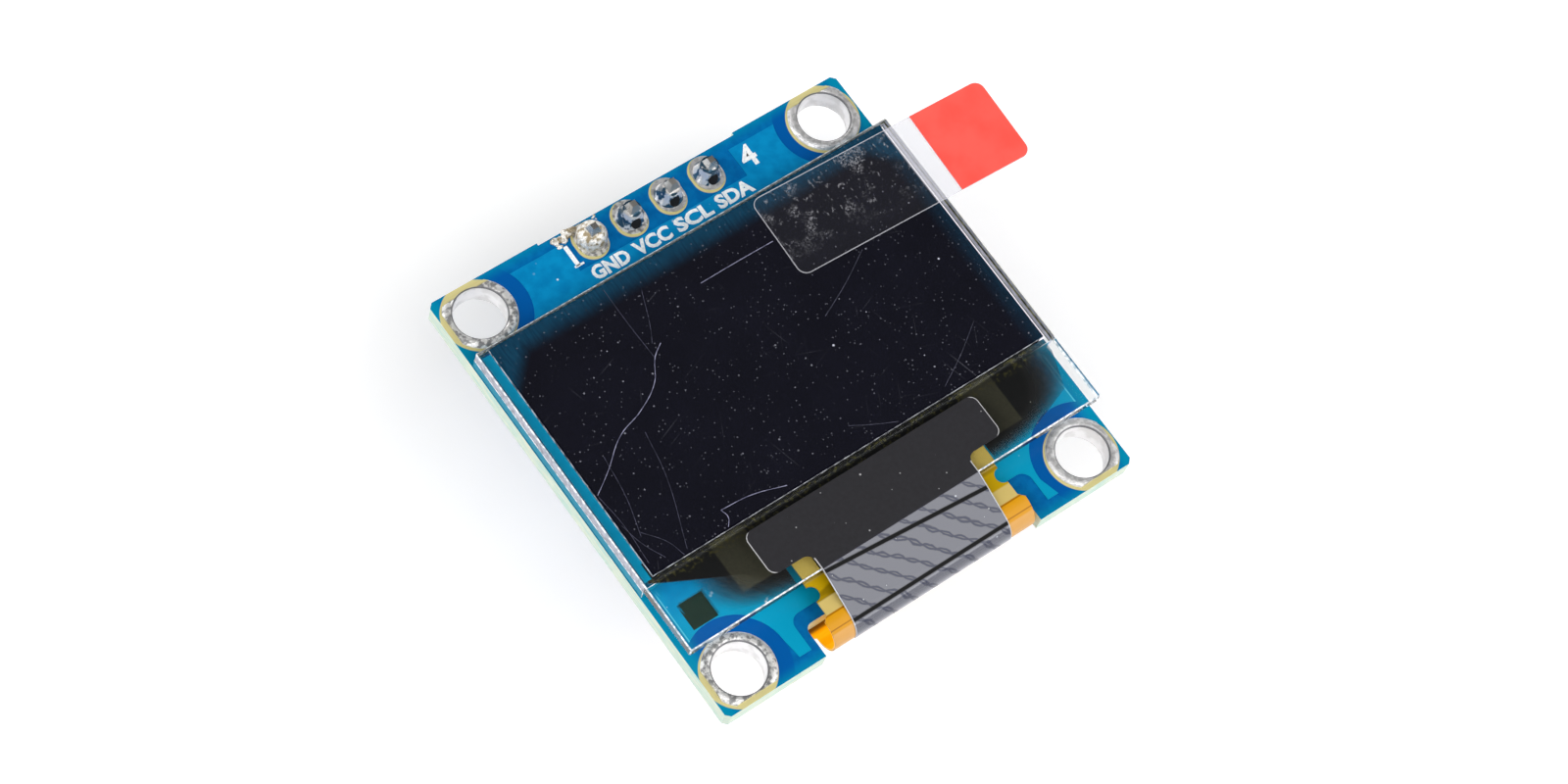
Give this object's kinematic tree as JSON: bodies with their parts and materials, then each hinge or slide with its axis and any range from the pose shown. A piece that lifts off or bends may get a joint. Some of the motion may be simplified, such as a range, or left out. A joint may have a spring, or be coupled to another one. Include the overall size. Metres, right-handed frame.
{
  "type": "graphic display module",
  "caption": "Small graphic display module: a dark glass panel on a blue circuit board with corner mounting holes, a pin header and a folded flex tail soldered to its rear.",
  "frame": {"origin": "centre of the four mounting holes, on the board's front face", "axes": "+Z out of the display towards the viewer, +Y from the display towards the pin header, +X from the first pin to the last"},
  "size_m": [0.0323, 0.027, 0.012],
  "materials": {
    "solder_mask": "glossy blue solder mask over a glass-fibre laminate",
    "tinned_copper": "tinned copper, bright and uneven",
    "solder": "reflowed solder",
    "header_plastic": "black moulded nylon",
    "pin_metal": "tin-plated brass",
    "adhesive_pad": "white double-sided adhesive foam",
    "panel_glass": "clear float glass with cut edges",
    "desiccant": "white desiccant sheet",
    "seal_resin": "cured resin",
    "emitter": "near-black emitter stack",
    "track_metal": "dark thin-film metal",
    "silicon": "polished silicon",
    "polariser_film": "dark polarising film",
    "clear_film": "clear protective film, lightly scratched",
    "clear_tape": "clear tape",
    "red_film": "coral red film",
    "polyimide": "amber polyimide film",
    "copper": "copper under amber film",
    "black_tape": "black tape",
    "resistor_glaze": "black glaze on white ceramic",
    "capacitor_ceramic": "fired ceramic, tan to brown",
    "moulding": "black moulding compound",
    "print_ink": "white printed ink on the solder mask"
  },
  "bodies": {
    "root": {"board": "solder_mask", "mounting_eyelet_1": "tinned_copper", "mounting_eyelet_2": "tinned_copper", "mounting_eyelet_3": "tinned_copper", "mounting_eyelet_4": "tinned_copper", "header_eyelets": "tinned_copper", "rear_lands": "tinned_copper", "header_housing": "header_plastic", "header_pin_1": "pin_metal", "header_pin_2": "pin_metal", "header_pin_3": "pin_metal", "header_pin_4": "pin_metal", "header_joint_1": "solder", "header_joint_2": "solder", "header_joint_3": "solder", "header_joint_4": "solder", "panel_pad": "adhesive_pad", "rear_glass": "panel_glass", "desiccant_sheet": "desiccant", "seal_bead": "seal_resin", "emitter_layers": "emitter", "front_glass": "panel_glass", "routing_film": "track_metal", "driver_chip": "silicon", "polariser": "polariser_film", "protective_film": "clear_film", "pull_tape": "clear_tape", "pull_grip": "red_film", "flex_cable": "polyimide", "flex_traces": "copper", "flex_solder": "solder", "light_shield": "black_tape", "resistor_1": "resistor_glaze", "resistor_2": "resistor_glaze", "resistor_3": "resistor_glaze", "resistor_4": "resistor_glaze", "resistor_5": "resistor_glaze", "resistor_6": "resistor_glaze", "resistor_7": "resistor_glaze", "resistor_8": "resistor_glaze", "capacitor_1": "capacitor_ceramic", "capacitor_2": "capacitor_ceramic", "capacitor_3": "capacitor_ceramic", "capacitor_4": "capacitor_ceramic", "capacitor_5": "capacitor_ceramic", "capacitor_6": "capacitor_ceramic", "capacitor_7": "capacitor_ceramic", "chip_terminals": "tinned_copper", "chip_solder": "solder", "regulator_body": "moulding", "regulator_leads": "tinned_copper", "diode_body": "moulding", "diode_leads": "tinned_copper", "lead_solder": "solder", "link_solder": "solder"}
  },
  "joints": []
}
